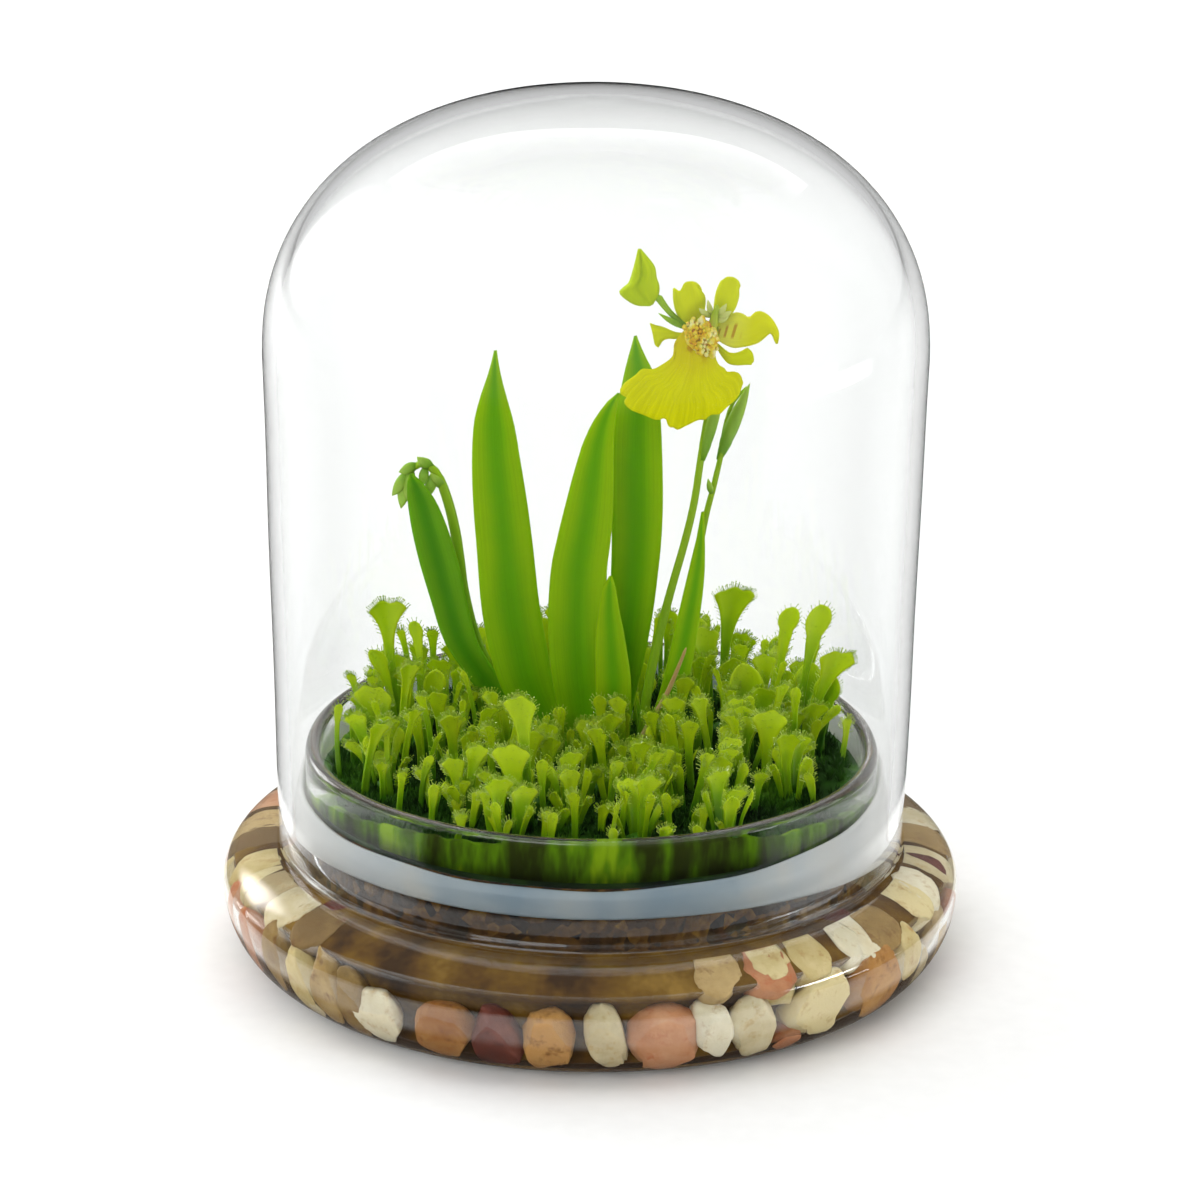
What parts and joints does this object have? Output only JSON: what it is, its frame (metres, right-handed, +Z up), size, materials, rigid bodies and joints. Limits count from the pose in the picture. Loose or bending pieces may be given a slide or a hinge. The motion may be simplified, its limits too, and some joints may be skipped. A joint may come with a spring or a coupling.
{
  "type": "glass plant terrarium",
  "caption": "Small round glass terrarium: a clear dome seals over a bulged glass base filled with pebbles, soil and moss, and holds a yellow miniature orchid among sundews.",
  "frame": {"origin": "middle of the glass base's flat underside, on the surface it stands on", "axes": "+Z up along the dome's axis, -Y towards the viewer of the flower, +X to the viewer's right"},
  "size_m": [0.11, 0.11, 0.13],
  "materials": {
    "base_glass": "clear hand-blown soda-lime glass, polished, slightly thicker than the dome",
    "dome_glass": "clear blown soda-lime glass, polished",
    "silicone_seal": "translucent milky silicone, satin, with an uneven upper edge",
    "gravel": "tumbled quartz and feldspar gravel, cream, ochre, salmon and red-brown, matt",
    "peat_soil": "damp fibrous peat, matt",
    "moss": "living cushion moss, matt",
    "orchid_leaf": "waxy green leaf with a folded midrib and fine lengthwise veins",
    "flower_stem": "smooth green flower stem with small bracts",
    "dried_stem": "dry straw-coloured stem with a red-brown tip",
    "petal": "soft yellow petal, satin, with fine radiating veins",
    "bud": "yellow-green flower bud, satin",
    "flower_callus": "cream warty callus with red-brown spots",
    "sundew_leaf": "thin bright green leaf edged with fine hairs"
  },
  "bodies": {
    "root": {"glass_base": "base_glass", "seal_ring": "silicone_seal", "glass_dome": "dome_glass", "pebble_bed": "gravel", "soil": "peat_soil", "moss_carpet": "moss", "orchid_leaf_outer": "orchid_leaf", "orchid_leaf_tall_left": "orchid_leaf", "orchid_leaf_middle": "orchid_leaf", "orchid_leaf_small": "orchid_leaf", "orchid_leaf_tall_right": "orchid_leaf", "orchid_sheath_leaf": "orchid_leaf", "flower_stalk": "flower_stem", "second_stalk": "flower_stem", "spent_spray": "flower_stem", "dried_stalk": "dried_stem", "flower_petals": "petal", "flower_lip": "petal", "flower_column": "flower_callus", "flower_bud": "bud", "sundew_tall_left": "sundew_leaf", "sundew_tall_back": "sundew_leaf", "sundew_broad_right": "sundew_leaf", "sundew_lobed_right": "sundew_leaf", "sundew_01": "sundew_leaf", "sundew_02": "sundew_leaf", "sundew_03": "sundew_leaf", "sundew_04": "sundew_leaf", "sundew_05": "sundew_leaf", "sundew_06": "sundew_leaf", "sundew_07": "sundew_leaf", "sundew_08": "sundew_leaf", "sundew_09": "sundew_leaf", "sundew_10": "sundew_leaf", "sundew_11": "sundew_leaf", "sundew_12": "sundew_leaf", "sundew_13": "sundew_leaf", "sundew_14": "sundew_leaf", "sundew_15": "sundew_leaf", "sundew_16": "sundew_leaf", "sundew_17": "sundew_leaf", "sundew_18": "sundew_leaf", "sundew_19": "sundew_leaf", "sundew_20": "sundew_leaf", "sundew_21": "sundew_leaf"}
  },
  "joints": []
}
